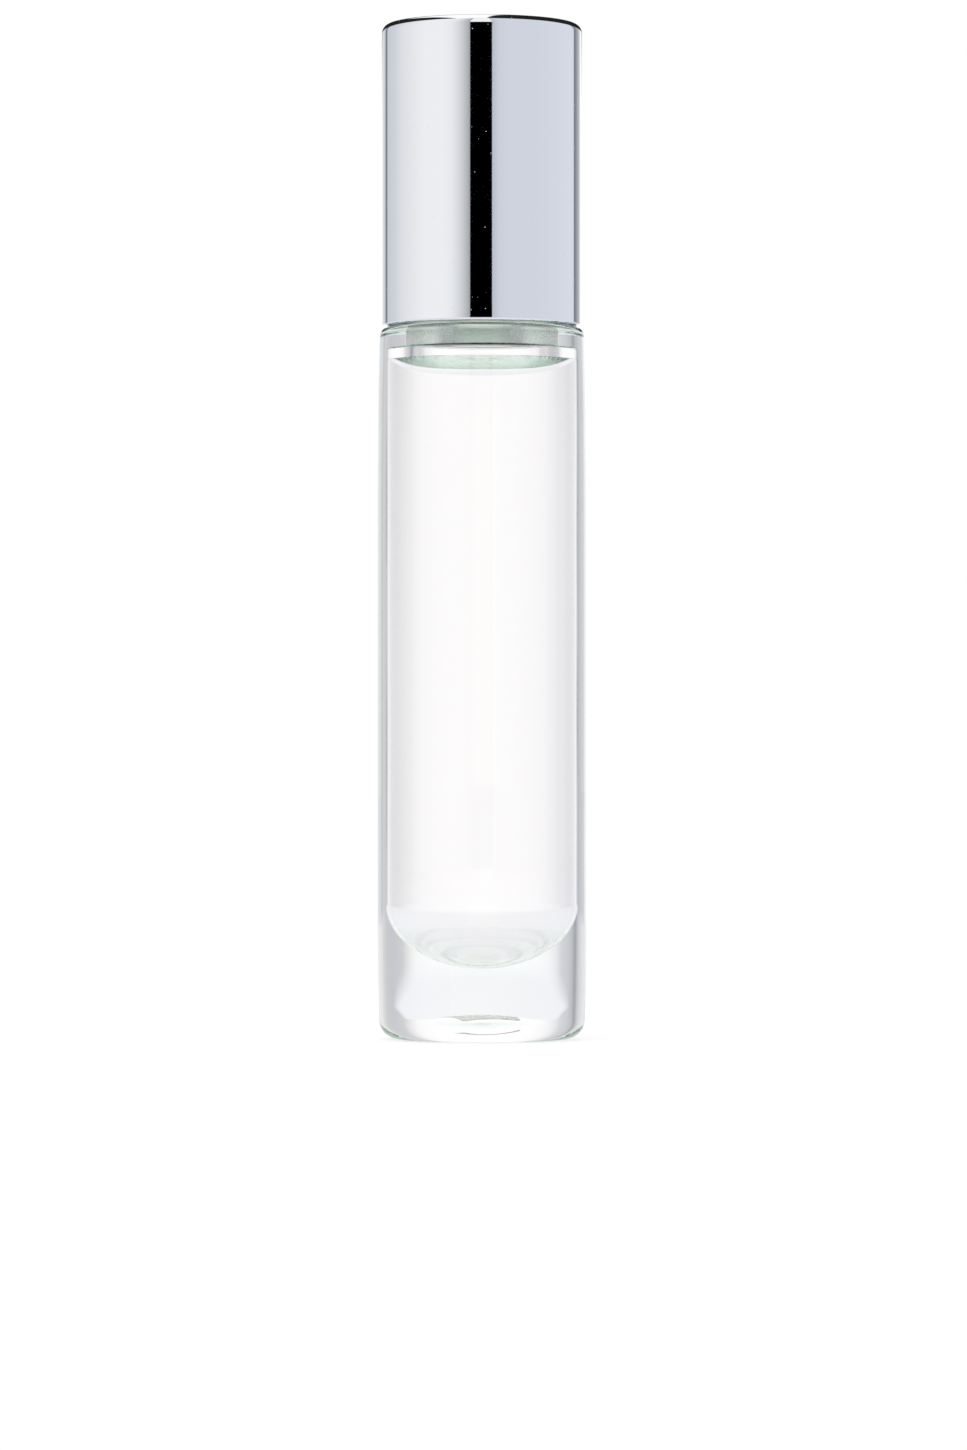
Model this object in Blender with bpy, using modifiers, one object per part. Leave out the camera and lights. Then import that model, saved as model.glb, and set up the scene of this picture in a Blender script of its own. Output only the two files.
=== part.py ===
# Roll-on perfume oil bottle: thick glass vial, steel ball in a plastic housing, and a screw cap.
# Metres, +Z up, origin at the centre of the foot. Every piece is turned about the Z axis.
import math

import bmesh
import bpy

MM = 0.001

# Steel ball and the plastic housing that holds it; the radial sizes build outwards from here
BALL_RADIUS = 4.75 * MM
BALL_CLEARANCE = 0.15 * MM
CUP_WALL = 1.1 * MM
CUP_LIP_WALL = 0.55 * MM
CUP_LIP_TAPER = 1.3 * MM
LIP_ABOVE_CENTRE = 1.8 * MM
CENTRE_ABOVE_FLANGE = 2.2 * MM
FLANGE_OVERHANG = 0.4 * MM
FLANGE_THICKNESS = 1.2 * MM
FLANGE_EDGE = 0.25 * MM
FLANGE_GAP = 0.2 * MM
FEED_RADIUS = 3.0 * MM
PLUG_WALL = 1.55 * MM
PLUG_ABOVE_ROOF = 0.1 * MM
PLUG_CHAMFER = 0.2 * MM
PLUG_RIB_HEIGHT = 0.2 * MM
PLUG_RIB_WIDTH = 0.6 * MM
PLUG_RIBS = 5
PLUG_CLEARANCE = 0.15 * MM

# Neck of the glass, outside the housing
LAND_MARGIN = 0.2 * MM
LAND_EDGE = 0.4 * MM
COLLAR_HEIGHT = 1.2 * MM
COLLAR_DEPTH = 0.85 * MM
COLLAR_EDGE = 0.35 * MM
THREAD_ABOVE_COLLAR = 0.8 * MM
NECK_ABOVE_THREAD = 2.0 * MM

# Screw thread: a round glass bead, and a smaller bead inside the cap that runs between its turns
GLASS_BEAD_RADIUS = 0.75 * MM
GLASS_BEAD_DEPTH = 0.9 * MM
CAP_BEAD_RADIUS = 0.5 * MM
CAP_BEAD_DEPTH = 0.85 * MM
FLANK_CLEARANCE = 0.25 * MM
CREST_CLEARANCE = 0.3 * MM
GLASS_TURNS = 1.75
CAP_TURNS = 1.5
RUN_OUT_TURNS = 0.3
RUN_OUT_END_SHARE = 0.3

# Cap: threaded plastic liner, soft sealing disc, polished metal shell
LINER_WALL = 1.35 * MM
LINER_RECESS = 0.6 * MM
LINER_MOUTH_EDGE = 0.3 * MM
SEAL_RADIAL_CLEARANCE = 0.3 * MM
SEAL_OVERHANG = 0.9 * MM
SEAL_THICKNESS = 1.5 * MM
SEAL_EDGE = 0.2 * MM
SEAL_TO_BALL = 0.3 * MM
SEAL_TO_CROWN = 0.2 * MM
SEAL_BEAD_HEIGHT = 0.5 * MM
SEAL_BEAD_DEPTH = 0.6 * MM
CROWN_THICKNESS = 1.2 * MM
CROWN_HOLLOW = 5.55 * MM
CROWN_RING_WALL = 0.95 * MM
CROWN_RIB_THICKNESS = 1.0 * MM
BOND_GAP = 0.2 * MM
CROWN_GAP = 0.3 * MM
SHELL_WALL = 0.5 * MM
SHELL_TOP_RADIUS = 0.9 * MM
SHELL_RIM_EDGE = 0.12 * MM
CAP_TO_SHOULDER = 0.2 * MM

# Glass body
SHOULDER_STEP = 0.45 * MM
SHOULDER_RADIUS = 0.8 * MM
SHOULDER_DRAW_IN = 0.25 * MM
SHOULDER_DRAW_LENGTH = 18.0 * MM
FOOT_DRAW_IN = 0.15 * MM
FOOT_DRAW_LENGTH = 12.0 * MM
FOOT_CORNER_RADIUS = 2.0 * MM
FOOT_RING_WIDTH = 0.8 * MM
PUSH_UP = 2.6 * MM
FLOOR_THICKNESS = 4.5 * MM
CHAMBER_STEP = 1.3 * MM
CHAMBER_HEIGHT = 61.0 * MM
ROOF_THICKNESS = 2.0 * MM
ROOF_RADIUS = 0.25 * MM
BORE_EDGE = 0.15 * MM

# Perfume oil in the chamber, and the small blank sticker in the hollow under the foot
OIL_GAP = 0.2 * MM
OIL_BELOW_ROOF = 3.0 * MM
MENISCUS_RISE = 1.85 * MM
MENISCUS_LENGTH = 1.65 * MM
STICKER_WIDTH = 4.4 * MM
STICKER_LENGTH = 5.6 * MM
STICKER_CORNER = 0.4 * MM
STICKER_THICKNESS = 0.15 * MM
STICKER_GAP = 0.15 * MM
STICKER_TURN = math.radians(14)

# Fineness of the round shapes
STEPS = 48
BALL_RINGS = 20
HELIX_POINTS_PER_TURN = 24
OVERLAP = 0.15 * MM
MERGE = 0.01 * MM
SHARP_ANGLE = math.radians(35)

# Radii, from the ball outwards
SOCKET_RADIUS = BALL_RADIUS + BALL_CLEARANCE
CUP_RADIUS = SOCKET_RADIUS + CUP_WALL
FLANGE_RADIUS = CUP_RADIUS + FLANGE_OVERHANG
PLUG_RADIUS = FEED_RADIUS + PLUG_WALL
BORE_RADIUS = PLUG_RADIUS + PLUG_RIB_HEIGHT + PLUG_CLEARANCE
NECK_RADIUS = FLANGE_RADIUS + LAND_MARGIN
SLEEVE_RADIUS = NECK_RADIUS + GLASS_BEAD_DEPTH + CREST_CLEARANCE
LINER_RADIUS = SLEEVE_RADIUS + LINER_WALL
SHELL_INNER_RADIUS = LINER_RADIUS + BOND_GAP
CAP_RADIUS = SHELL_INNER_RADIUS + SHELL_WALL
BODY_RADIUS = CAP_RADIUS + SHOULDER_STEP
CHAMBER_RADIUS = BORE_RADIUS + CHAMBER_STEP
SEAL_RADIUS = CUP_RADIUS + SEAL_OVERHANG
SEAL_SEAT_RADIUS = SEAL_RADIUS + SEAL_RADIAL_CLEARANCE

# Heights, from the foot upwards
THREAD_LEAD = 2 * (GLASS_BEAD_RADIUS + CAP_BEAD_RADIUS + FLANK_CLEARANCE)
CHAMBER_FLOOR_Z = PUSH_UP + FLOOR_THICKNESS
ROOF_Z = CHAMBER_FLOOR_Z + CHAMBER_HEIGHT
PLUG_END_Z = ROOF_Z + PLUG_ABOVE_ROOF
SHOULDER_Z = ROOF_Z + ROOF_THICKNESS
COLLAR_TOP_Z = SHOULDER_Z + COLLAR_HEIGHT
CAP_THREAD_Z = COLLAR_TOP_Z + THREAD_ABOVE_COLLAR + CAP_BEAD_RADIUS
THREAD_START_Z = CAP_THREAD_Z + THREAD_LEAD / 2
THREAD_END_Z = THREAD_START_Z + GLASS_TURNS * THREAD_LEAD + GLASS_BEAD_RADIUS
LAND_Z = THREAD_END_Z + NECK_ABOVE_THREAD
FLANGE_Z = LAND_Z + FLANGE_GAP
FLANGE_TOP_Z = FLANGE_Z + FLANGE_THICKNESS
BALL_Z = FLANGE_TOP_Z + CENTRE_ABOVE_FLANGE
LIP_Z = BALL_Z + LIP_ABOVE_CENTRE
SEAL_Z = BALL_Z + BALL_RADIUS + SEAL_TO_BALL
CROWN_Z = SEAL_Z + SEAL_THICKNESS + SEAL_TO_CROWN
CROWN_TOP_Z = CROWN_Z + CROWN_THICKNESS
LINER_TOP_Z = CROWN_TOP_Z + CROWN_HOLLOW
CAP_TOP_Z = LINER_TOP_Z + CROWN_GAP + SHELL_WALL
CAP_BOTTOM_Z = SHOULDER_Z + CAP_TO_SHOULDER
LINER_BOTTOM_Z = CAP_BOTTOM_Z + LINER_RECESS


def clear_scene():
    for old in list(bpy.data.objects):
        bpy.data.objects.remove(old, do_unlink=True)


def make_collection(name):
    collection = bpy.data.collections.new(name)
    bpy.context.scene.collection.children.link(collection)
    return collection


def make_material(name, colour, roughness, metallic=0.0, clearness=0.0):
    material = bpy.data.materials.new(name)
    material.use_nodes = True
    shader = material.node_tree.nodes["Principled BSDF"]
    shader.inputs["Base Color"].default_value = (*colour, 1.0)
    shader.inputs["Roughness"].default_value = roughness
    shader.inputs["Metallic"].default_value = metallic
    shader.inputs["Transmission Weight"].default_value = clearness
    return material


def arc(centre_x, centre_z, radius, start, end, count):
    # Points on a round corner, from the start angle to the end angle in degrees
    angles = [math.radians(start + (end - start) * i / count) for i in range(count + 1)]
    return [(centre_x + radius * math.cos(a), centre_z + radius * math.sin(a)) for a in angles]


def place(piece, material, parent, collection):
    piece.data.materials.clear()
    piece.data.materials.append(material)
    piece.parent = parent
    for other in list(piece.users_collection):
        other.objects.unlink(piece)
    collection.objects.link(piece)
    return piece


def make_empty(name, height, collection, parent=None):
    empty = bpy.data.objects.new(name, None)
    empty.location.z = height
    empty.empty_display_size = BODY_RADIUS
    empty.parent = parent
    collection.objects.link(empty)
    return empty


def turned(name, outline, base_z, closed=False):
    # An outline of (radius, height) points spun about Z. It runs down its outer side.
    mesh = bpy.data.meshes.new(name)
    points = [(x, 0.0, z - base_z) for x, z in outline]
    edges = [(i, i + 1) for i in range(len(points) - 1)]
    if closed:
        edges.append((len(points) - 1, 0))
    mesh.from_pydata(points, edges, [])
    piece = bpy.data.objects.new(name, mesh)
    bpy.context.scene.collection.objects.link(piece)
    spin = piece.modifiers.new("spin", "SCREW")
    spin.axis = "Z"
    spin.steps = STEPS
    spin.render_steps = STEPS
    spin.use_merge_vertices = True
    spin.merge_threshold = MERGE
    return piece


def joined(piece, extras, operation="UNION"):
    # The piece with each extra shape united to it, or cut by it, as one plain mesh shaded smooth
    for extra in extras:
        join = piece.modifiers.new("join", "BOOLEAN")
        join.operation = operation
        join.object = extra
    bpy.context.view_layer.update()
    evaluated = piece.evaluated_get(bpy.context.evaluated_depsgraph_get())
    mesh = bpy.data.meshes.new_from_object(evaluated)
    piece.modifiers.clear()
    piece.data = mesh
    mesh.name = piece.name
    mesh.shade_smooth()
    mesh.set_sharp_from_angle(angle=SHARP_ANGLE)
    for extra in extras:
        bpy.data.objects.remove(extra, do_unlink=True)
    return piece


def thread_bead(name, wall_radius, depth, bead_radius, start_z, turns):
    # A right-hand helical bead on a round wall, which thins and sinks into the wall at its ends.
    # A negative depth puts it on the wall's inside.
    curve = bpy.data.curves.new(name, "CURVE")
    curve.dimensions = "3D"
    curve.twist_mode = "Z_UP"
    curve.bevel_depth = bead_radius
    curve.bevel_resolution = 2
    curve.use_fill_caps = True
    count = round(turns * HELIX_POINTS_PER_TURN)
    spline = curve.splines.new("POLY")
    spline.points.add(count)
    crest = depth - math.copysign(bead_radius, depth)
    for i, point in enumerate(spline.points):
        turn = turns * i / count
        run_share = min(1.0, turn / RUN_OUT_TURNS, (turns - turn) / RUN_OUT_TURNS)
        share = RUN_OUT_END_SHARE + (1 - RUN_OUT_END_SHARE) * run_share
        angle = 2 * math.pi * turn
        radius = wall_radius + crest * run_share
        height = start_z + THREAD_LEAD * turn
        point.co = (radius * math.cos(angle), radius * math.sin(angle), height, 1.0)
        point.radius = share
    guide = bpy.data.objects.new(name, curve)
    bpy.context.scene.collection.objects.link(guide)
    bpy.context.view_layer.update()
    evaluated = guide.evaluated_get(bpy.context.evaluated_depsgraph_get())
    mesh = bpy.data.meshes.new_from_object(evaluated)
    bead = bpy.data.objects.new(name, mesh)
    bead.matrix_world = guide.matrix_world
    bpy.context.scene.collection.objects.link(bead)
    bpy.data.objects.remove(guide, do_unlink=True)
    shape = bmesh.new()
    shape.from_mesh(mesh)
    bmesh.ops.remove_doubles(shape, verts=shape.verts, dist=MERGE)
    bmesh.ops.recalc_face_normals(shape, faces=shape.faces)
    shape.to_mesh(mesh)
    shape.free()
    return bead


def body_side():
    # The glass side from shoulder to foot, drawn in a little towards both ends
    top = SHOULDER_Z - SHOULDER_RADIUS
    bottom = FOOT_CORNER_RADIUS
    upper_reach = min(SHOULDER_DRAW_LENGTH, (top - bottom) / 3)
    lower_reach = min(FOOT_DRAW_LENGTH, (top - bottom) / 3)
    shares = (0.0, 0.2, 0.5, 1.0)
    upper = [(BODY_RADIUS - SHOULDER_DRAW_IN * (1 - s) ** 2, top - upper_reach * s) for s in shares]
    lower = [(BODY_RADIUS - FOOT_DRAW_IN * (1 - s) ** 2, bottom + lower_reach * s) for s in shares]
    return upper + lower[::-1]


def push_up_sphere():
    # Radius of the hollow under the foot, and the rim where it meets the foot ring
    rim = BODY_RADIUS - FOOT_DRAW_IN - FOOT_CORNER_RADIUS - FOOT_RING_WIDTH
    radius = (rim ** 2 + PUSH_UP ** 2) / (2 * PUSH_UP)
    return radius, rim


def glass_bottle():
    bore_edge = min(BORE_EDGE, CHAMBER_STEP / 3)
    roof_radius = min(ROOF_RADIUS, CHAMBER_STEP - bore_edge)
    collar_radius = NECK_RADIUS + COLLAR_DEPTH
    side = body_side()
    foot_x = side[-1][0] - FOOT_CORNER_RADIUS
    dome_radius, rim = push_up_sphere()
    dome_angle = math.degrees(math.asin(rim / dome_radius))
    outline = arc(0, CHAMBER_FLOOR_Z + CHAMBER_RADIUS, CHAMBER_RADIUS, -90, 0, 9)
    outline += arc(CHAMBER_RADIUS - roof_radius, ROOF_Z - roof_radius, roof_radius, 0, 90, 4)
    outline += arc(BORE_RADIUS + bore_edge, ROOF_Z + bore_edge, bore_edge, -90, -180, 2)
    outline += arc(BORE_RADIUS + LAND_EDGE, LAND_Z - LAND_EDGE, LAND_EDGE, 180, 90, 2)
    outline += arc(NECK_RADIUS - LAND_EDGE, LAND_Z - LAND_EDGE, LAND_EDGE, 90, 0, 2)
    outline.append((NECK_RADIUS, COLLAR_TOP_Z))
    outline += arc(collar_radius - COLLAR_EDGE, COLLAR_TOP_Z - COLLAR_EDGE, COLLAR_EDGE, 90, 0, 2)
    outline.append((collar_radius, SHOULDER_Z))
    outline += arc(side[0][0] - SHOULDER_RADIUS, side[0][1], SHOULDER_RADIUS, 90, 0, 4)
    outline += side[1:]
    outline += arc(foot_x, FOOT_CORNER_RADIUS, FOOT_CORNER_RADIUS, 0, -90, 5)[1:]
    outline += arc(0, PUSH_UP - dome_radius, dome_radius, 90 - dome_angle, 90, 6)
    outline[0] = (0.0, outline[0][1])
    outline[-1] = (0.0, PUSH_UP)
    bead = thread_bead(
        "glass_thread", NECK_RADIUS, GLASS_BEAD_DEPTH, GLASS_BEAD_RADIUS, THREAD_START_Z, GLASS_TURNS
    )
    return joined(turned("glass_bottle", outline, 0), [bead])


def meniscus(radius):
    # Height of the oil's surface above its middle, where it climbs the chamber's wall
    wall_rise = math.cosh(CHAMBER_RADIUS / MENISCUS_LENGTH) - 1
    return MENISCUS_RISE * (math.cosh(radius / MENISCUS_LENGTH) - 1) / wall_rise


def perfume_oil():
    radius = CHAMBER_RADIUS - OIL_GAP
    level = ROOF_Z - OIL_BELOW_ROOF
    surface_shares = (0.0, 0.35, 0.6, 0.8, 0.92, 1.0)
    outline = [(radius * s, level + meniscus(radius * s)) for s in surface_shares]
    outline += arc(0, CHAMBER_FLOOR_Z + CHAMBER_RADIUS, radius, 0, -90, 9)
    outline[-1] = (0.0, outline[-1][1])
    return joined(turned("perfume_oil", outline, CHAMBER_FLOOR_Z), [])


def base_sticker():
    # A small film sticker that follows the hollow under the foot: part of a domed sheet
    dome_radius, rim = push_up_sphere()
    centre_z = PUSH_UP - dome_radius
    outer = dome_radius - STICKER_GAP
    inner = outer - STICKER_THICKNESS
    half_angle = math.degrees(math.asin(math.hypot(STICKER_WIDTH, STICKER_LENGTH) / outer))
    outline = arc(0, centre_z, outer, 90, 90 - half_angle, 5)
    outline += arc(0, centre_z, inner, 90 - half_angle, 90, 5)
    outline[0] = (0.0, outline[0][1])
    outline[-1] = (0.0, outline[-1][1])
    bpy.ops.mesh.primitive_cube_add(size=1)
    frame = bpy.context.object
    frame.scale = (STICKER_WIDTH, STICKER_LENGTH, 4 * PUSH_UP)
    bpy.ops.object.transform_apply(location=False, rotation=False, scale=True)
    corners = frame.modifiers.new("corners", "BEVEL")
    corners.width = STICKER_CORNER
    corners.segments = 2
    frame.rotation_euler.z = STICKER_TURN
    return joined(turned("base_sticker", outline, 0), [frame], "INTERSECT")


def plug_side():
    # The plug's outer side, with ring ribs that grip the bore
    pitch = (FLANGE_Z - PLUG_END_Z - PLUG_CHAMFER) / (PLUG_RIBS + 1)
    rib_radius = PLUG_RADIUS + PLUG_RIB_HEIGHT
    side = [(PLUG_RADIUS, FLANGE_Z)]
    for number in range(1, PLUG_RIBS + 1):
        middle = FLANGE_Z - pitch * number
        side.append((PLUG_RADIUS, middle + PLUG_RIB_WIDTH / 2))
        side.append((rib_radius, middle))
        side.append((PLUG_RADIUS, middle - PLUG_RIB_WIDTH / 2))
    side.append((PLUG_RADIUS, PLUG_END_Z + PLUG_CHAMFER))
    side.append((PLUG_RADIUS - PLUG_CHAMFER, PLUG_END_Z))
    return side


def roller_housing():
    lip_angle = math.degrees(math.asin(LIP_ABOVE_CENTRE / SOCKET_RADIUS))
    seat_angle = -math.degrees(math.acos(FEED_RADIUS / SOCKET_RADIUS))
    lip_radius = SOCKET_RADIUS * math.cos(math.radians(lip_angle))
    outline = [(lip_radius + CUP_LIP_WALL, LIP_Z), (CUP_RADIUS, LIP_Z - CUP_LIP_TAPER)]
    outline.append((CUP_RADIUS, FLANGE_TOP_Z))
    outline.append((FLANGE_RADIUS - FLANGE_EDGE, FLANGE_TOP_Z))
    outline.append((FLANGE_RADIUS, FLANGE_TOP_Z - FLANGE_EDGE))
    outline.append((FLANGE_RADIUS, FLANGE_Z))
    outline += plug_side()
    outline.append((FEED_RADIUS, PLUG_END_Z))
    outline += arc(0, BALL_Z, SOCKET_RADIUS, seat_angle, lip_angle, 8)
    return joined(turned("roller_housing", outline, FLANGE_Z, closed=True), [])


def roller_ball():
    bpy.ops.mesh.primitive_uv_sphere_add(segments=STEPS, ring_count=BALL_RINGS, radius=BALL_RADIUS)
    ball = bpy.context.object
    ball.name = "roller_ball"
    ball.data.shade_smooth()
    return ball


def seal_disc():
    bpy.ops.mesh.primitive_cylinder_add(vertices=STEPS, radius=SEAL_RADIUS, depth=SEAL_THICKNESS)
    disc = bpy.context.object
    disc.name = "seal_disc"
    edge = disc.modifiers.new("edge", "BEVEL")
    edge.width = SEAL_EDGE
    edge.segments = 2
    edge.limit_method = "ANGLE"
    return joined(disc, [])


def crown_ribs():
    # Two crossed ribs that stiffen the hollow above the liner's crown
    ribs = []
    length = 2 * (LINER_RADIUS - CROWN_RING_WALL + OVERLAP)
    height = CROWN_HOLLOW + OVERLAP
    for quarter in range(2):
        bpy.ops.mesh.primitive_cube_add(size=1)
        rib = bpy.context.object
        rib.name = f"crown_rib_{quarter}"
        rib.scale = (length, CROWN_RIB_THICKNESS, height)
        rib.rotation_euler.z = quarter * math.pi / 2
        rib.location.z = LINER_TOP_Z - height / 2 - OVERLAP - LINER_BOTTOM_Z
        ribs.append(rib)
    return ribs


def inner_cap():
    bead_radius = SEAL_SEAT_RADIUS - SEAL_BEAD_DEPTH
    bead_z = SEAL_Z - SEAL_BEAD_HEIGHT
    taper = SLEEVE_RADIUS - SEAL_SEAT_RADIUS
    ring_radius = LINER_RADIUS - CROWN_RING_WALL
    outline = [(0.0, CROWN_TOP_Z), (ring_radius, CROWN_TOP_Z), (ring_radius, LINER_TOP_Z)]
    outline += [(LINER_RADIUS, LINER_TOP_Z), (LINER_RADIUS, LINER_BOTTOM_Z)]
    outline.append((SLEEVE_RADIUS + LINER_MOUTH_EDGE, LINER_BOTTOM_Z))
    outline.append((SLEEVE_RADIUS, LINER_BOTTOM_Z + LINER_MOUTH_EDGE))
    outline += [(SLEEVE_RADIUS, FLANGE_TOP_Z), (SEAL_SEAT_RADIUS, FLANGE_TOP_Z + taper)]
    outline.append((SEAL_SEAT_RADIUS, bead_z - SEAL_BEAD_HEIGHT))
    outline += [(bead_radius, bead_z), (SEAL_SEAT_RADIUS, SEAL_Z)]
    outline += [(SEAL_SEAT_RADIUS, CROWN_Z), (0.0, CROWN_Z)]
    start_z = CAP_THREAD_Z - LINER_BOTTOM_Z
    bead = thread_bead(
        "cap_thread", SLEEVE_RADIUS, -CAP_BEAD_DEPTH, CAP_BEAD_RADIUS, start_z, CAP_TURNS
    )
    return joined(turned("inner_cap", outline, LINER_BOTTOM_Z), [bead, *crown_ribs()])


def cap_shell():
    inner_top_z = CAP_TOP_Z - SHELL_WALL
    inner_corner = max(SHELL_TOP_RADIUS - SHELL_WALL, MERGE)
    outline = [(0.0, CAP_TOP_Z)]
    outline += arc(CAP_RADIUS - SHELL_TOP_RADIUS, CAP_TOP_Z - SHELL_TOP_RADIUS, SHELL_TOP_RADIUS, 90, 0, 5)
    outline.append((CAP_RADIUS, CAP_BOTTOM_Z + SHELL_RIM_EDGE))
    outline.append((CAP_RADIUS - SHELL_RIM_EDGE, CAP_BOTTOM_Z))
    outline.append((SHELL_INNER_RADIUS + SHELL_RIM_EDGE, CAP_BOTTOM_Z))
    outline.append((SHELL_INNER_RADIUS, CAP_BOTTOM_Z + SHELL_RIM_EDGE))
    outline += arc(SHELL_INNER_RADIUS - inner_corner, inner_top_z - inner_corner, inner_corner, 0, 90, 2)
    outline.append((0.0, inner_top_z))
    return joined(turned("cap_shell", outline, CAP_BOTTOM_Z), [])


def main():
    clear_scene()
    parts = make_collection("perfume_oil_bottle")
    glass = make_material("clear_glass", (0.93, 0.97, 0.95), 0.02, clearness=1.0)
    oil = make_material("perfume_oil", (0.99, 0.97, 0.93), 0.02, clearness=1.0)
    film = make_material("clear_film", (0.86, 0.88, 0.76), 0.3, clearness=0.6)
    housing = make_material("natural_polyethylene", (0.78, 0.83, 0.79), 0.3, clearness=0.6)
    steel = make_material("ball_steel", (0.72, 0.73, 0.74), 0.08, metallic=1.0)
    foam = make_material("soft_seal", (0.88, 0.88, 0.87), 0.8)
    liner = make_material("white_polypropylene", (0.84, 0.84, 0.83), 0.35)
    mirror = make_material("mirror_metal", (0.78, 0.79, 0.82), 0.05, metallic=1.0)

    bottle_base = make_empty("bottle_base", 0, parts)
    place(glass_bottle(), glass, bottle_base, parts)
    place(perfume_oil(), oil, bottle_base, parts).location.z = CHAMBER_FLOOR_Z
    place(base_sticker(), film, bottle_base, parts)
    place(roller_housing(), housing, bottle_base, parts).location.z = FLANGE_Z
    place(roller_ball(), steel, bottle_base, parts).location.z = BALL_Z

    # The seal disc only slides, and the cap turns about it
    seal_slide = make_empty("seal_slide", SEAL_Z, parts, bottle_base)
    place(seal_disc(), foam, seal_slide, parts).location.z = SEAL_THICKNESS / 2
    cap_turn = make_empty("cap_turn", CAP_BOTTOM_Z - SEAL_Z, parts, seal_slide)
    place(inner_cap(), liner, cap_turn, parts).location.z = LINER_RECESS
    place(cap_shell(), mirror, cap_turn, parts)


main()
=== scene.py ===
import math

import bmesh
import bpy
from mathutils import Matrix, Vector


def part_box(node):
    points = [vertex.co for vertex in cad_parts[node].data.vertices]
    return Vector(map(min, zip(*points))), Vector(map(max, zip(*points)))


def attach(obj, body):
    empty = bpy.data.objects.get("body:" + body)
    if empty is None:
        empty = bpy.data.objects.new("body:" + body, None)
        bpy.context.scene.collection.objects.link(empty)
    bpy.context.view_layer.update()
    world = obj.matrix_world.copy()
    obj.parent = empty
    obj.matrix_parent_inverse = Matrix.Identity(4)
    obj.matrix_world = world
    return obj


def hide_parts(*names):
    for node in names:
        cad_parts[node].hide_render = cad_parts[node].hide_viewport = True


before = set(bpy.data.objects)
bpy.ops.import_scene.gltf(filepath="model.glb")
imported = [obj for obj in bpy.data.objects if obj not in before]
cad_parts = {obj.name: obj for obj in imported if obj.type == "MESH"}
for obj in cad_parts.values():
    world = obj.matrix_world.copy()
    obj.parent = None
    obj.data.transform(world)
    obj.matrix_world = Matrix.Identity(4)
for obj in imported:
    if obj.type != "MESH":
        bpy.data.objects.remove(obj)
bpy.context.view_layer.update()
mm = 0.001
weldGap = 0.001 * mm
contact = 0.02 * mm  # how far a wetted or pressed piece reaches into the glass, so that no air is left


# Drawing and turning: an outline is drawn point by point in the XZ plane, then spun about Z

def startClean():
    if bpy.context.mode != "OBJECT":
        bpy.ops.object.mode_set(mode="OBJECT")
    bpy.ops.object.select_all(action="DESELECT")


def startOutline(name, x, z):
    # a tiny plane merged to one point, which is the pencil's tip
    startClean()
    bpy.ops.mesh.primitive_plane_add(size=mm, location=(x, 0, z))
    piece = bpy.context.object
    piece.name = piece.data.name = name
    bpy.ops.object.mode_set(mode="EDIT")
    bpy.ops.mesh.select_mode(type="VERT")
    bpy.ops.mesh.select_all(action="SELECT")
    bpy.ops.mesh.merge(type="CENTER")
    return {"piece": piece, "x": x, "z": z}


def lineTo(pencil, x, z, cuts=1):
    step = ((x - pencil["x"]) / cuts, 0, (z - pencil["z"]) / cuts)
    for _ in range(cuts):
        bpy.ops.mesh.extrude_vertices_move(TRANSFORM_OT_translate={"value": step})
    pencil["x"], pencil["z"] = x, z


def heldLineTo(pencil, x, z, hold=0.12 * mm):
    # a line with a point close to each end, so that smooth shading stays at the corners
    length = math.hypot(x - pencil["x"], z - pencil["z"])
    ux, uz = (x - pencil["x"]) / length, (z - pencil["z"]) / length
    lineTo(pencil, pencil["x"] + ux * hold, pencil["z"] + uz * hold)
    lineTo(pencil, x - ux * hold, z - uz * hold)
    lineTo(pencil, x, z)


def arcAbout(pencil, centreX, centreZ, degrees, steps):
    # positive degrees turn anticlockwise as seen from the front
    bpy.ops.mesh.spin(
        steps=steps, angle=math.radians(degrees), center=(centreX, 0, centreZ), axis=(0, 1, 0)
    )
    turn = math.radians(degrees)
    dx, dz = pencil["x"] - centreX, pencil["z"] - centreZ
    pencil["x"] = centreX + dx * math.cos(turn) - dz * math.sin(turn)
    pencil["z"] = centreZ + dx * math.sin(turn) + dz * math.cos(turn)


def spinRound(pencil, steps, smoothAngle=32):
    bpy.ops.mesh.select_all(action="SELECT")
    bpy.ops.mesh.spin(steps=steps, angle=2 * math.pi, center=(0, 0, 0), axis=(0, 0, 1))
    bpy.ops.mesh.select_all(action="SELECT")
    bpy.ops.mesh.remove_doubles(threshold=weldGap)
    bpy.ops.mesh.normals_make_consistent(inside=False)
    return settle(pencil["piece"], smoothAngle)


def settle(piece, smoothAngle=32):
    # place and size go into the mesh, and the object ends at the origin
    if bpy.context.mode != "OBJECT":
        bpy.ops.object.mode_set(mode="OBJECT")
    bpy.ops.object.select_all(action="DESELECT")
    piece.select_set(True)
    bpy.context.view_layer.objects.active = piece
    bpy.ops.object.transform_apply(location=True, rotation=True, scale=True)
    bpy.ops.object.shade_smooth_by_angle(angle=math.radians(smoothAngle))
    return piece


def applyModifier(piece, modifier):
    startClean()
    piece.select_set(True)
    bpy.context.view_layer.objects.active = piece
    bpy.ops.object.modifier_apply(modifier=modifier.name)


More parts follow.
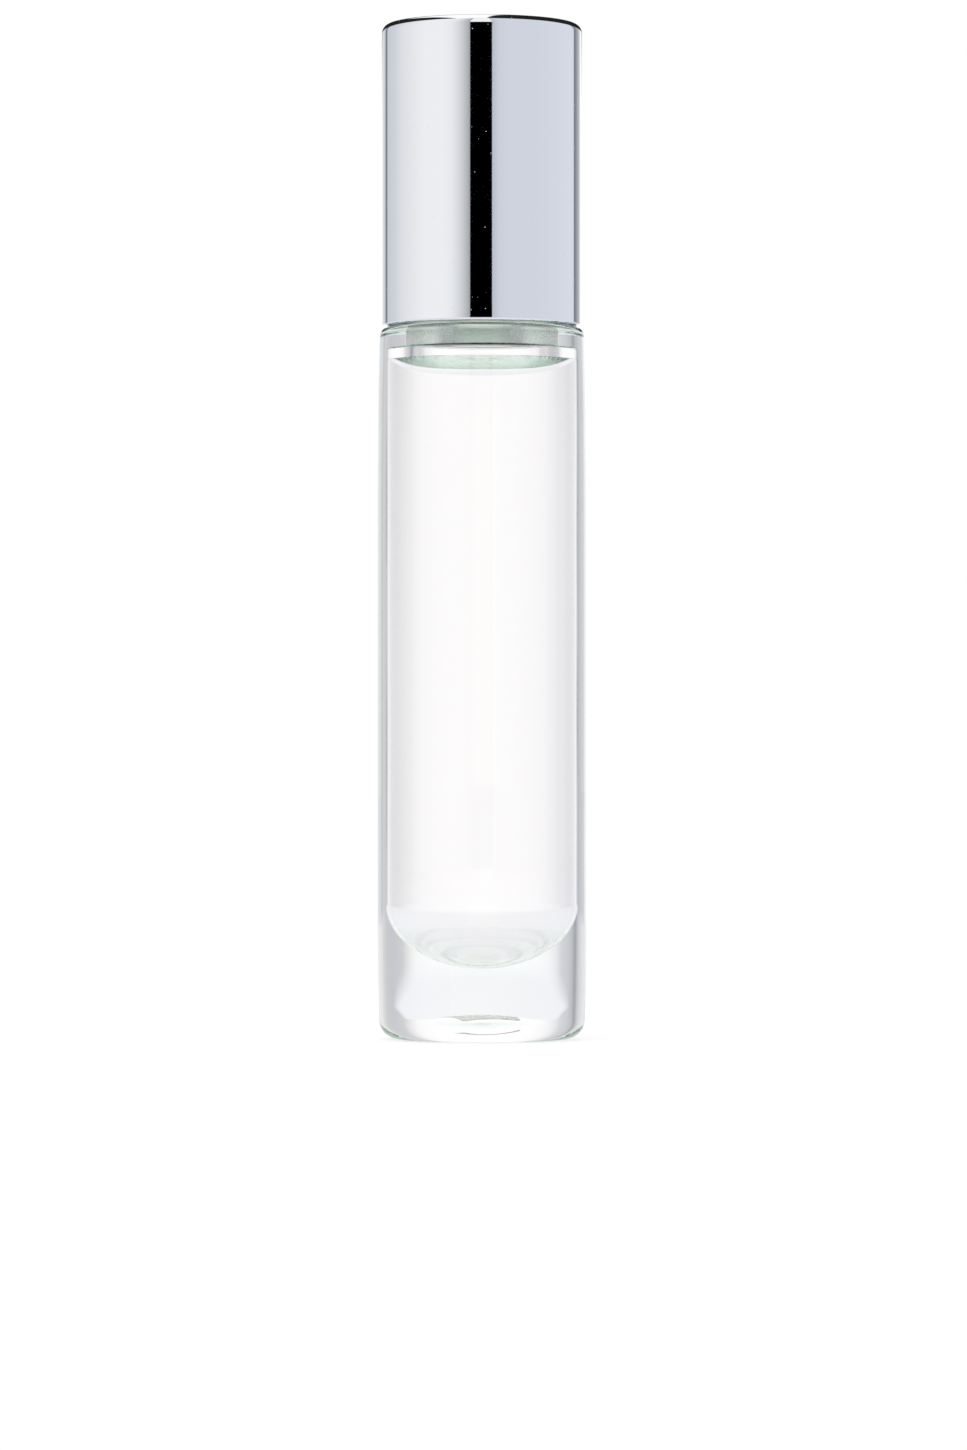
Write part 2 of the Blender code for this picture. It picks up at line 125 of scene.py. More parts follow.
def raiseThread(piece, thread):
    # the thread's round bead, raised from the wall along a right-hand helix
    group = piece.vertex_groups.new(name="thread")
    for vert in piece.data.vertices:
        radius = math.hypot(vert.co.x, vert.co.y)
        if abs(radius - thread["wallRadius"]) > thread["wallReach"]:
            continue
        start = (math.atan2(vert.co.y, vert.co.x) / (2 * math.pi)) % 1
        height = 0
        for lap in range(math.ceil(thread["turns"])):
            turn = start + lap
            runOut = min(1, turn / thread["runOut"], (thread["turns"] - turn) / thread["runOut"])
            away = abs(vert.co.z - thread["startZ"] - thread["lead"] * turn) / thread["halfWidth"]
            if runOut > 0 and away < 1:
                height = max(height, runOut * (0.5 + 0.5 * math.cos(math.pi * away)) ** thread["fullness"])
        if height > 0:
            group.add([vert.index], height, "REPLACE")
    bead = piece.modifiers.new("bead", "DISPLACE")
    bead.vertex_group = "thread"
    bead.mid_level = 0
    bead.strength = thread["depth"]
    applyModifier(piece, bead)
    piece.vertex_groups.clear()


# Materials

def newMaterial(name, look):
    material = bpy.data.materials.new(name)
    material.use_nodes = True
    shader = material.node_tree.nodes["Principled BSDF"]
    for socket, value in look.items():
        shader.inputs[socket].default_value = value
    return material, material.node_tree, shader


def objectPoints(tree, scale=(1, 1, 1), turn=0):
    coordinates = tree.nodes.new("ShaderNodeTexCoord")
    mapping = tree.nodes.new("ShaderNodeMapping")
    mapping.inputs["Scale"].default_value = scale
    mapping.inputs["Rotation"].default_value = (0, 0, turn)
    tree.links.new(coordinates.outputs["Object"], mapping.inputs["Vector"])
    return mapping.outputs["Vector"]


def splitOf(tree, points):
    split = tree.nodes.new("ShaderNodeSeparateXYZ")
    tree.links.new(points, split.inputs["Vector"])
    return split


def lengthOf(tree, points):
    length = tree.nodes.new("ShaderNodeVectorMath")
    length.operation = "LENGTH"
    tree.links.new(points, length.inputs[0])
    return length.outputs["Value"]


def noiseOf(tree, points, size, detail=3, roughness=0.5):
    # size is the width of its spots, in metres
    noise = tree.nodes.new("ShaderNodeTexNoise")
    noise.inputs["Scale"].default_value = 1 / size
    noise.inputs["Detail"].default_value = detail
    noise.inputs["Roughness"].default_value = roughness
    tree.links.new(points, noise.inputs["Vector"])
    return noise.outputs["Fac"]


def cellsOf(tree, points, size):
    cells = tree.nodes.new("ShaderNodeTexVoronoi")
    cells.inputs["Scale"].default_value = 1 / size
    tree.links.new(points, cells.inputs["Vector"])
    return cells.outputs["Distance"]


def rangeOf(tree, value, low, high, toLow, toHigh):
    spread = tree.nodes.new("ShaderNodeMapRange")
    for name, number in (("From Min", low), ("From Max", high), ("To Min", toLow), ("To Max", toHigh)):
        spread.inputs[name].default_value = number
    tree.links.new(value, spread.inputs["Value"])
    return spread.outputs["Result"]


def sumOf(tree, first, second, operation="ADD"):
    both = tree.nodes.new("ShaderNodeMath")
    both.operation = operation
    both.use_clamp = operation in ("ADD", "MULTIPLY")
    for socket, value in zip(both.inputs, (first, second)):
        if isinstance(value, (int, float)):
            socket.default_value = value
        else:
            tree.links.new(value, socket)
    return both.outputs["Value"]


def blendOf(tree, share, first, second):
    mix = tree.nodes.new("ShaderNodeMix")
    mix.data_type = "RGBA"
    for name, colour in (("A", first), ("B", second)):
        if isinstance(colour, tuple):
            mix.inputs[name].default_value = (*colour, 1)
        else:
            tree.links.new(colour, mix.inputs[name])
    tree.links.new(share, mix.inputs["Factor"])
    return mix.outputs["Result"]


def anyOf(tree, *names):
    # one where the ray is of one of these kinds
    path = tree.nodes.new("ShaderNodeLightPath")
    total = path.outputs[names[0]]
    for name in names[1:]:
        total = sumOf(tree, total, path.outputs[name])
    return total


def mixShaders(tree, share, first, second):
    mix = tree.nodes.new("ShaderNodeMixShader")
    tree.links.new(share, mix.inputs["Fac"])
    tree.links.new(first, mix.inputs[1])
    tree.links.new(second, mix.inputs[2])
    return mix.outputs["Shader"]


def glowOf(tree, strength, colour=None):
    glow = tree.nodes.new("ShaderNodeEmission")
    glow.inputs["Strength"].default_value = strength
    if colour:
        tree.links.new(colour, glow.inputs["Color"])
    return glow.outputs["Emission"]


def addBump(tree, shader, height, depth, before=None):
    bump = tree.nodes.new("ShaderNodeBump")
    bump.inputs["Distance"].default_value = depth
    tree.links.new(height, bump.inputs["Height"])
    if before:
        tree.links.new(before, bump.inputs["Normal"])
    tree.links.new(bump.outputs["Normal"], shader.inputs["Normal"])
    return bump.outputs["Normal"]


def addAbsorption(tree, colour):
    # the colour is about what one centimetre of depth leaves of white light
    absorb = tree.nodes.new("ShaderNodeVolumeAbsorption")
    absorb.inputs["Color"].default_value = (*colour, 1)
    absorb.inputs["Density"].default_value = 100
    tree.links.new(absorb.outputs["Volume"], tree.nodes["Material Output"].inputs["Volume"])


def dress(piece, material, slot, body, *nodes):
    piece.data.materials.clear()
    piece.data.materials.append(material)
    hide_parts(*nodes)
    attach(piece, body)
    print("made", piece.name, "with", len(piece.data.polygons), "faces")


# Camera, as the photograph was taken: level, with upright lines kept upright by a small shift

camera = {
    "place": (0.15 * mm, -640 * mm, 28 * mm),
    "lens": 161.2,
    "sensor": 36,
    "risePixels": 30,
    "photoPixels": 1450,
    "near": 10 * mm,
    "far": 20,
}


def setCamera():
    data = bpy.data.cameras.new("photo_camera")
    data.lens = camera["lens"]
    data.sensor_width = camera["sensor"]
    data.shift_y = camera["risePixels"] / camera["photoPixels"]
    data.clip_start = camera["near"]
    data.clip_end = camera["far"]
    photoCamera = bpy.data.objects.new("photo_camera", data)
    photoCamera.location = camera["place"]
    photoCamera.rotation_euler = (math.pi / 2, 0, 0)
    bpy.context.scene.collection.objects.link(photoCamera)
    bpy.context.scene.camera = photoCamera


setCamera()
print("camera set")


# Glass bottle: thick clear vial with a round-bottomed chamber and a threaded neck

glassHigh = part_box("glass_bottle")[1]
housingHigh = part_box("roller_housing")[1]
shellLow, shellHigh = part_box("cap_shell")
linerLow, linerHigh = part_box("inner_cap")

glass = {
    "bodyRadius": glassHigh.x,
    "chamberRadius": 6.2 * mm,
    "boreRadius": 4.9 * mm,
    "neckRadius": 6.6 * mm,
    "collarRadius": 7.45 * mm,
    "chamberFloor": 7.1 * mm,
    "roof": 68.1 * mm,
    "roofCorner": 0.25 * mm,
    "boreEdge": 0.08 * mm,
    "shoulder": 70.1 * mm,
    "collarTop": 71.3 * mm,
    "land": glassHigh.z,
    "landEdge": 0.4 * mm,
    "collarEdge": 0.35 * mm,
    "neckFillet": 0.3 * mm,
    "shoulderRadius": 0.8 * mm,
    "shoulderDrawIn": 0.25 * mm,
    "shoulderDrawLength": 18 * mm,
    "footDrawIn": 0.15 * mm,
    "footDrawLength": 12 * mm,
    "footCorner": 2.0 * mm,
    "footRing": 0.8 * mm,
    "pushUp": 2.6 * mm,
    "chillTop": 9.5 * mm,
    "chillFade": 3 * mm,
    "chillEdge": 0.5 * mm,
    "chillStart": 1 * mm,
    "chillRise": 1 * mm,
    "chillGrain": 0.4 * mm,
    "chillDepth": 0.01 * mm,
    "chillRoughness": 0.06,
    "waveSize": 9 * mm,
    "waveDepth": 0.02 * mm,
    "markSize": 5 * mm,
    "markRoughness": 0.03,
    "depthColour": (0.966, 0.9945, 0.979),
    "spinSteps": 224,
}
glassThread = {
    "wallRadius": glass["neckRadius"],
    "wallReach": 0.02 * mm,
    "depth": 0.9 * mm,
    "halfWidth": 0.95 * mm,
    "startZ": 74.1 * mm,
    "lead": 3.0 * mm,
    "turns": 1.75,
    "fullness": 0.55,
    "runOut": 0.3,
    "rows": 84,
}


def drawBodySide(pencil):
    # down the outside, drawn in a little towards the shoulder and the foot
    top = glass["shoulder"] - glass["shoulderRadius"]
    count = 10
    for i in range(1, count + 1):
        share = i / count
        lineTo(
            pencil,
            glass["bodyRadius"] - glass["shoulderDrawIn"] * (1 - share) ** 2,
            top - glass["shoulderDrawLength"] * share,
        )
    for i in range(count, -1, -1):
        share = i / count
        lineTo(
            pencil,
            glass["bodyRadius"] - glass["footDrawIn"] * (1 - share) ** 2,
            glass["footCorner"] + glass["footDrawLength"] * share,
        )


def drawFoot(pencil):
    corner = glass["footCorner"]
    arcAbout(pencil, pencil["x"] - corner, corner, -90, 24)
    rim = pencil["x"] - glass["footRing"]
    lineTo(pencil, rim, 0, 4)
    domeRadius = (rim ** 2 + glass["pushUp"] ** 2) / (2 * glass["pushUp"])
    domeAngle = math.degrees(math.asin(rim / domeRadius))
    arcAbout(pencil, 0, glass["pushUp"] - domeRadius, domeAngle, 40)


def drawRoof(pencil):
    # a tight corner at the chamber's wall, a flat ledge and a small edge to the bore
    corner, edge, roof = glass["roofCorner"], glass["boreEdge"], glass["roof"]
    arcAbout(pencil, glass["chamberRadius"] - corner, roof - corner, 90, 10)
    lineTo(pencil, glass["boreRadius"] + edge, roof, 2)
    arcAbout(pencil, glass["boreRadius"] + edge, roof + edge, -90, 8)


def blowBottle():
    chamber, bore = glass["chamberRadius"], glass["boreRadius"]
    neck, landEdge = glass["neckRadius"], glass["landEdge"]
    collar, collarEdge = glass["collarRadius"], glass["collarEdge"]
    fillet, landZ = glass["neckFillet"], glass["land"]
    pencil = startOutline("glass_vial", 0, glass["chamberFloor"])
    arcAbout(pencil, 0, glass["chamberFloor"] + chamber, 90, 56)
    heldLineTo(pencil, chamber, glass["roof"] - glass["roofCorner"])
    drawRoof(pencil)
    heldLineTo(pencil, bore, landZ - landEdge)
    arcAbout(pencil, bore + landEdge, landZ - landEdge, -90, 8)
    lineTo(pencil, neck - landEdge, landZ, 2)
    arcAbout(pencil, neck - landEdge, landZ - landEdge, -90, 8)
    lineTo(pencil, neck, glass["collarTop"] + fillet, glassThread["rows"])
    arcAbout(pencil, neck + fillet, glass["collarTop"] + fillet, 90, 6)
    arcAbout(pencil, collar - collarEdge, glass["collarTop"] - collarEdge, -90, 8)
    lineTo(pencil, collar, glass["shoulder"] + fillet, 2)
    arcAbout(pencil, collar + fillet, glass["shoulder"] + fillet, 90, 6)
    shoulderEnd = glass["bodyRadius"] - glass["shoulderDrawIn"] - glass["shoulderRadius"]
    heldLineTo(pencil, shoulderEnd, glass["shoulder"])
    arcAbout(pencil, shoulderEnd, glass["shoulder"] - glass["shoulderRadius"], -90, 20)
    drawBodySide(pencil)
    drawFoot(pencil)
    vial = spinRound(pencil, glass["spinSteps"], smoothAngle=50)
    raiseThread(vial, glassThread)
    return vial


def chillMask(tree):
    # one on the chamber's round floor, where the hot glass touched the plunger last
    radius, top = glass["chamberRadius"], glass["chillTop"]
    bottom = glass["pushUp"] + glass["chillStart"]
    height = splitOf(tree, objectPoints(tree)).outputs["Z"]
    fromAxis = lengthOf(tree, objectPoints(tree, (1, 1, 0)))
    inside = rangeOf(tree, fromAxis, radius, radius + glass["chillEdge"], 1, 0)
    low = rangeOf(tree, height, top, top + glass["chillFade"], 1, 0)
    above = rangeOf(tree, height, bottom, bottom + glass["chillRise"], 0, 1)
    return sumOf(tree, sumOf(tree, inside, low, "MULTIPLY"), above, "MULTIPLY")


def glassFinish():
    # clear glass with a green cast in its depth, faint waves from the mould, a chill-grained chamber
    # floor and a few finger marks
    material, tree, shader = newMaterial("clear_glass_finish", {
        "Base Color": (1, 1, 1, 1), "Transmission Weight": 1, "IOR": 1.52, "Roughness": 0,
    })
    waves = noiseOf(tree, objectPoints(tree, (1, 1, 0.35)), glass["waveSize"], detail=1)
    waved = addBump(tree, shader, waves, glass["waveDepth"])
    chill = chillMask(tree)
    grain = noiseOf(tree, objectPoints(tree), glass["chillGrain"], detail=3)
    addBump(tree, shader, sumOf(tree, grain, chill, "MULTIPLY"), glass["chillDepth"], before=waved)
    marks = noiseOf(tree, objectPoints(tree), glass["markSize"], detail=5, roughness=0.7)
    marked = rangeOf(tree, marks, 0.6, 0.8, 0, glass["markRoughness"])
    chilled = sumOf(tree, chill, glass["chillRoughness"], "MULTIPLY")
    tree.links.new(sumOf(tree, marked, chilled), shader.inputs["Roughness"])
    addAbsorption(tree, glass["depthColour"])
    return material


dress(blowBottle(), glassFinish(), "clear_glass", "bottle", "glass_bottle")


# Perfume oil: it wets the wall, so its edge lies a hair inside the glass and leaves no film of air

oil = {
    "radius": glass["chamberRadius"] + contact,
    "level": 65.1 * mm,
    "climb": 1.85 * mm,
    "climbLength": 1.65 * mm,
    "swirlSize": 14 * mm,
    "swirlDepth": 0.004 * mm,
    "depthColour": (0.977, 0.986, 0.974),
    "spinSteps": 192,
}


def pourOil():
    floorCentre = glass["chamberFloor"] + glass["chamberRadius"]
    pencil = startOutline("oil_fill", 0, oil["level"])
    count = 40
    wallRise = math.cosh(oil["radius"] / oil["climbLength"]) - 1
    for i in range(1, count + 1):
        radius = oil["radius"] * math.sin(i / count * math.pi / 2)
        rise = (math.cosh(radius / oil["climbLength"]) - 1) / wallRise
        lineTo(pencil, radius, oil["level"] + oil["climb"] * rise)
    heldLineTo(pencil, oil["radius"], floorCentre)
    arcAbout(pencil, 0, floorCentre, -90, 56)
    return spinRound(pencil, oil["spinSteps"])


def oilFinish():
    # nearly colourless, with a faint cast in its depth
    material, tree, shader = newMaterial("perfume_oil_finish", {
        "Base Color": (1, 1, 1, 1), "Transmission Weight": 1, "IOR": 1.48, "Roughness": 0,
    })
    swirl = noiseOf(tree, objectPoints(tree), oil["swirlSize"], detail=1)
    addBump(tree, shader, swirl, oil["swirlDepth"])
    addAbsorption(tree, oil["depthColour"])
    return material


dress(pourOil(), oilFinish(), "perfume_oil", "bottle", "perfume_oil")


# Base sticker: a small clear film in the hollow under the foot, wetted to the glass by its glue

sticker = {
    "width": 4.4 * mm,
    "length": 5.6 * mm,
    "corner": 0.4 * mm,
    "thickness": 0.15 * mm,
    "turn": math.radians(14),
    "strips": 24,
    "edgeWidth": 0.35 * mm,
    "airSize": 0.16 * mm,
    "creaseSize": 1.2 * mm,
    "creaseDepth": 0.02 * mm,
    "colour": (0.95, 0.97, 0.88),
    "airColour": (0.52, 0.54, 0.47),
    "roughness": (0.12, 0.35),
}


def cutSticker():
    rim = glass["bodyRadius"] - glass["footDrawIn"] - glass["footCorner"] - glass["footRing"]
    domeRadius = (rim ** 2 + glass["pushUp"] ** 2) / (2 * glass["pushUp"])
    startClean()
    bpy.ops.mesh.primitive_uv_sphere_add(
        segments=192, ring_count=96, radius=domeRadius + contact,
        location=(0, 0, glass["pushUp"] - domeRadius),
    )
    hollow = bpy.context.object
    startClean()
    bpy.ops.mesh.primitive_plane_add(size=1, location=(0, 0, 2 * glass["pushUp"]))
    film = bpy.context.object
    film.name = film.data.name = "foot_sticker"
    film.scale = (sticker["width"], sticker["length"], 1)
    bpy.ops.object.transform_apply(location=False, rotation=False, scale=True)
    bpy.ops.object.mode_set(mode="EDIT")
    bpy.ops.mesh.select_all(action="SELECT")
    bpy.ops.mesh.bevel(offset=sticker["corner"], segments=6, affect="VERTICES")
    for number in range(1, sticker["strips"]):
        share = number / sticker["strips"] - 0.5
        for normal, size in (((1, 0, 0), sticker["width"]), ((0, 1, 0), sticker["length"])):
            bpy.ops.mesh.select_all(action="SELECT")
            bpy.ops.mesh.bisect(plane_co=tuple(n * share * size for n in normal), plane_no=normal)
    bpy.ops.object.mode_set(mode="OBJECT")
    film.rotation_euler.z = sticker["turn"]
    wrap = film.modifiers.new("wrap", "SHRINKWRAP")
    wrap.wrap_method = "PROJECT"
    wrap.use_project_z = True
    wrap.use_negative_direction = True
    wrap.use_positive_direction = False
    wrap.target = hollow
    applyModifier(film, wrap)
    body = film.modifiers.new("body", "SOLIDIFY")
    body.thickness = sticker["thickness"]
    body.offset = -1
    applyModifier(film, body)
    bpy.data.objects.remove(hollow, do_unlink=True)
    return settle(film)


def stickerFinish():
    # clear yellowish film, with small grey specks of trapped air along its edges
    material, tree, shader = newMaterial("clear_film_finish", {
        "Base Color": (*sticker["colour"], 1), "Transmission Weight": 0.95, "IOR": 1.48, "Roughness": 0.18,
    })
    points = objectPoints(tree, turn=-sticker["turn"])
    split = splitOf(tree, points)
    nearness = []
    for side, size in (("X", sticker["width"]), ("Y", sticker["length"])):
        away = sumOf(tree, split.outputs[side], 0, "ABSOLUTE")
        nearness.append(rangeOf(tree, away, size / 2 - sticker["edgeWidth"], size / 2, 0, 1))
    edge = sumOf(tree, *nearness, "MAXIMUM")
    air = rangeOf(tree, noiseOf(tree, points, sticker["airSize"], detail=2), 0.5, 0.6, 0, 1)
    specks = sumOf(tree, rangeOf(tree, edge, 0.2, 0.6, 0, 1), air, "MULTIPLY")
    colour = blendOf(tree, specks, sticker["colour"], sticker["airColour"])
    tree.links.new(colour, shader.inputs["Base Color"])
    tree.links.new(rangeOf(tree, air, 0, 1, *sticker["roughness"]), shader.inputs["Roughness"])
    addBump(tree, shader, noiseOf(tree, points, sticker["creaseSize"]), sticker["creaseDepth"])
    return material


dress(cutSticker(), stickerFinish(), "clear_film", "bottle", "base_sticker")


# Roller housing: translucent plastic plug, flange and cup that hold the ball
# The plug's lower land is pressed so tight to the bore that no air is left, as the oil is to its wall

housing = {
    "socketRadius": 4.9 * mm,
    "cupRadius": 6.0 * mm,
    "lipWall": 0.55 * mm,
    "lipTaper": 1.3 * mm,
    "lipEdge": 0.15 * mm,
    "flangeRadius": housingHigh.x,
    "flangeZ": 82.3 * mm,
    "flangeTop": 83.5 * mm,
    "flangeEdge": 0.25 * mm,
    "feedRadius": 3.0 * mm,
    "plugRadius": 4.6 * mm,
    "landRadius": glass["boreRadius"] + contact,
    "landTop": 71.2 * mm,
    "plugChamfer": 0.03 * mm,
    "ribHeight": 0.25 * mm,
    "ribWidth": 0.6 * mm,
    "ribs": 4,
    "ballZ": 85.7 * mm,
    "lip": housingHigh.z,
    "plugEnd": glass["roof"] + 0.05 * mm,
    "cloudSize": 2.5 * mm,
    "grainSize": 0.12 * mm,
    "grainDepth": 0.004 * mm,
    "colours": ((0.74, 0.815, 0.76), (0.77, 0.835, 0.785)),
    "roughness": (0.24, 0.34),
    "spinSteps": 160,
}


def drawPlug(pencil):
    # down the plug's ribbed side to its lower land, and in under its end
    plug, land, chamfer = housing["plugRadius"], housing["landRadius"], housing["plugChamfer"]
    lineTo(pencil, plug, housing["flangeZ"], 2)
    pitch = (housing["flangeZ"] - housing["landTop"]) / (housing["ribs"] + 1)
    steps = 8
    for number in range(1, housing["ribs"] + 1):
        middle = housing["flangeZ"] - pitch * number
        lineTo(pencil, plug, middle + housing["ribWidth"] / 2)
        for i in range(1, steps + 1):
            angle = math.pi * i / steps
            lineTo(
                pencil,
                plug + housing["ribHeight"] * math.sin(angle),
                middle + housing["ribWidth"] / 2 * math.cos(angle),
            )
    lineTo(pencil, plug, housing["landTop"] + land - plug)
    lineTo(pencil, land, housing["landTop"])
    heldLineTo(pencil, land, housing["plugEnd"] + chamfer)
    lineTo(pencil, land - chamfer, housing["plugEnd"])
    lineTo(pencil, housing["feedRadius"], housing["plugEnd"], 2)


def mouldHousing():
    socket, cup, lipZ = housing["socketRadius"], housing["cupRadius"], housing["lip"]
    lipAngle = math.asin((lipZ - housing["ballZ"]) / socket)
    lipX = socket * math.cos(lipAngle)
    seatAngle = math.acos(housing["feedRadius"] / socket)
    flange, edge = housing["flangeRadius"], housing["flangeEdge"]
    pencil = startOutline("ball_housing", lipX, lipZ)
    lineTo(pencil, lipX + housing["lipWall"] - housing["lipEdge"], lipZ, 2)
    arcAbout(pencil, pencil["x"], lipZ - housing["lipEdge"], -60, 5)
    heldLineTo(pencil, cup, lipZ - housing["lipTaper"])
    heldLineTo(pencil, cup, housing["flangeTop"] + edge)
    arcAbout(pencil, cup + edge, housing["flangeTop"] + edge, 60, 5)
    lineTo(pencil, flange - edge, housing["flangeTop"])
    arcAbout(pencil, flange - edge, housing["flangeTop"] - edge, -90, 6)
    lineTo(pencil, flange, housing["flangeZ"], 2)
    drawPlug(pencil)
    heldLineTo(pencil, housing["feedRadius"], housing["ballZ"] - socket * math.sin(seatAngle))
    arcAbout(pencil, 0, housing["ballZ"], math.degrees(seatAngle + lipAngle), 28)
    return spinRound(pencil, housing["spinSteps"])


def housingFinish():
    # translucent polyethylene, a little uneven in the mould
    material, tree, shader = newMaterial("natural_polyethylene_finish", {
        "Base Color": (0.70, 0.77, 0.72, 1), "Transmission Weight": 1, "Roughness": 0.18, "IOR": 1.51,
    })
    clouds = noiseOf(tree, objectPoints(tree), housing["cloudSize"])
    tree.links.new(blendOf(tree, clouds, *housing["colours"]), shader.inputs["Base Color"])
    grain = noiseOf(tree, objectPoints(tree), housing["grainSize"], detail=2)
    tree.links.new(rangeOf(tree, grain, 0.3, 0.7, *housing["roughness"]), shader.inputs["Roughness"])
    addBump(tree, shader, grain, housing["grainDepth"])
    return material


dress(mouldHousing(), housingFinish(), "natural_polyethylene", "bottle", "roller_housing")


# Roller ball: polished steel, made from a cube that is rounded to a sphere

ballLow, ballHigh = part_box("roller_ball")
ballMarks = {
    "hairSize": 1.2 * mm,
    "hairDepth": 0.0015 * mm,
    "hairTurn": 0.6,
    "roughness": (0.05, 0.14),
}


def roundBall():
    radius = (ballHigh.z - ballLow.z) / 2
    centre = (0, 0, (ballHigh.z + ballLow.z) / 2)
    startClean()
    bpy.ops.mesh.primitive_cube_add(size=2 * radius / math.sqrt(3), location=centre)
    ball = bpy.context.object
    ball.name = ball.data.name = "steel_ball"
    bpy.ops.object.mode_set(mode="EDIT")
    bpy.ops.mesh.select_all(action="SELECT")
    bpy.ops.mesh.subdivide(number_cuts=31)
    bpy.ops.transform.tosphere(value=1, center_override=centre)
    bpy.ops.object.mode_set(mode="OBJECT")
    reach = max(vert.co.length for vert in ball.data.vertices)
    ball.scale = (radius / reach,) * 3
    return settle(ball, smoothAngle=60)


def ballFinish():
    # polished steel with hair-fine marks from rolling
    material, tree, shader = newMaterial("ball_steel_finish", {
        "Base Color": (0.72, 0.73, 0.74, 1), "Metallic": 1, "Roughness": 0.08,
    })
    points = objectPoints(tree, (1, 12, 1), ballMarks["hairTurn"])
    hairs = noiseOf(tree, points, ballMarks["hairSize"], detail=4, roughness=0.7)
    tree.links.new(rangeOf(tree, hairs, 0.35, 0.7, *ballMarks["roughness"]), shader.inputs["Roughness"])
    addBump(tree, shader, hairs, ballMarks["hairDepth"])
    return material


dress(roundBall(), ballFinish(), "ball_steel", "ball", "roller_ball")


# Seal disc: soft foam, punched from sheet

sealLow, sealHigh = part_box("seal_disc")
seal = {
    "edge": 0.2 * mm,
    "print": 4.0 * mm,
    "printDepth": 0.06 * mm,
    "cellSize": 0.16 * mm,
    "cellDepth": 0.03 * mm,
    # the darker colour is painted shade in the cells' hollows, the lighter one is on the cell walls
    "colours": ((0.84, 0.84, 0.83), (0.91, 0.91, 0.90)),
    "roughness": (0.7, 0.9),
    "vertices": 160,
}


def facesAt(piece, height, facing):
    # selects the faces that look up or down at a height
    shape = bmesh.from_edit_mesh(piece.data)
    for face in shape.faces:
        middle = piece.matrix_world @ face.calc_center_median()
        face.select_set(abs(middle.z - height) < weldGap and face.normal.z * facing > 0.9)
    bmesh.update_edit_mesh(piece.data)


def punchSeal():
    startClean()
    bpy.ops.mesh.primitive_cylinder_add(
        vertices=seal["vertices"], radius=sealHigh.x, depth=sealHigh.z - sealLow.z,
        location=(0, 0, (sealHigh.z + sealLow.z) / 2),
    )
    disc = bpy.context.object
    disc.name = disc.data.name = "foam_seal"
    edge = disc.modifiers.new("edge", "BEVEL")
    edge.width = seal["edge"]
    edge.segments = 4
    edge.limit_method = "ANGLE"
    applyModifier(disc, edge)
    bpy.ops.object.mode_set(mode="EDIT")
    bpy.ops.mesh.select_mode(type="FACE")
    for height, facing in ((sealHigh.z, 1), (sealLow.z, -1)):
        facesAt(disc, height, facing)
        bpy.ops.mesh.inset(thickness=sealHigh.x - seal["edge"] - seal["print"])
        if facing < 0:
            # the ball's round mark, pressed into the underside
            bpy.ops.transform.translate(value=(0, 0, seal["printDepth"]))
            bpy.ops.mesh.inset(thickness=seal["edge"])
        bpy.ops.mesh.poke()
    return settle(disc)


def sealFinish():
    # matt foam, smoother inside its cells, with painted shade that darkens the cells' hollows
    material, tree, shader = newMaterial("soft_seal_finish", {
        "Base Color": (0.88, 0.88, 0.87, 1), "Roughness": 0.8,
    })
    foam = cellsOf(tree, objectPoints(tree), seal["cellSize"])
    # painted shade: the cells' hollows, where the bump is lowest, get the darker colour
    tree.links.new(blendOf(tree, foam, *seal["colours"]), shader.inputs["Base Color"])
    tree.links.new(rangeOf(tree, foam, 0, 0.6, *seal["roughness"]), shader.inputs["Roughness"])
    addBump(tree, shader, foam, seal["cellDepth"])
    return material


dress(punchSeal(), sealFinish(), "soft_seal", "seal", "seal_disc")


# Inner cap: white plastic liner with the cap's thread, a seat for the seal and ribs under the shell's top

liner = {
    "radius": linerHigh.x,
    "bottom": linerLow.z,
    "top": linerHigh.z,
    "sleeveRadius": 7.8 * mm,
    "mouthEdge": 0.3 * mm,
    "sleeveTop": 83.5 * mm,
    "seatRadius": 7.2 * mm,
    "beadRadius": 6.6 * mm,
    "beadHeight": 0.5 * mm,
    "crownZ": 92.45 * mm,
    "crownTop": 93.65 * mm,
    "ringWall": 0.95 * mm,
    "ribWidth": 1.0 * mm,
    "overlap": 0.15 * mm,
    "cloudSize": 3 * mm,
    "grainSize": 0.1 * mm,
    "grainDepth": 0.004 * mm,
    "colours": ((0.81, 0.81, 0.80), (0.87, 0.87, 0.86)),
    "roughness": (0.28, 0.42),
    "spinSteps": 192,
}
linerThread = {
    "wallRadius": liner["sleeveRadius"],
    "wallReach": 0.02 * mm,
    "depth": 0.85 * mm,
    "halfWidth": 0.65 * mm,
    "startZ": 72.6 * mm,
    "lead": 3.0 * mm,
    "turns": 1.5,
    "fullness": 0.55,
    "runOut": 0.3,
    "rows": 96,
}


def addCrownRibs(cap):
    # two crossed ribs that stiffen the hollow above the crown
    length = 2 * (liner["radius"] - liner["ringWall"] + liner["overlap"])
    low, high = liner["crownTop"] - liner["overlap"], liner["top"] - liner["overlap"]
    for quarter in range(2):
        startClean()
        bpy.ops.mesh.primitive_cube_add(size=1, location=(0, 0, (low + high) / 2))
        rib = bpy.context.object
        rib.scale = (length, liner["ribWidth"], high - low)
        rib.rotation_euler.z = quarter * math.pi / 2
        settle(rib)
        join = cap.modifiers.new("rib", "BOOLEAN")
        join.operation = "UNION"
        join.solver = "MANIFOLD"
        join.object = rib
        applyModifier(cap, join)
        bpy.data.objects.remove(rib, do_unlink=True)


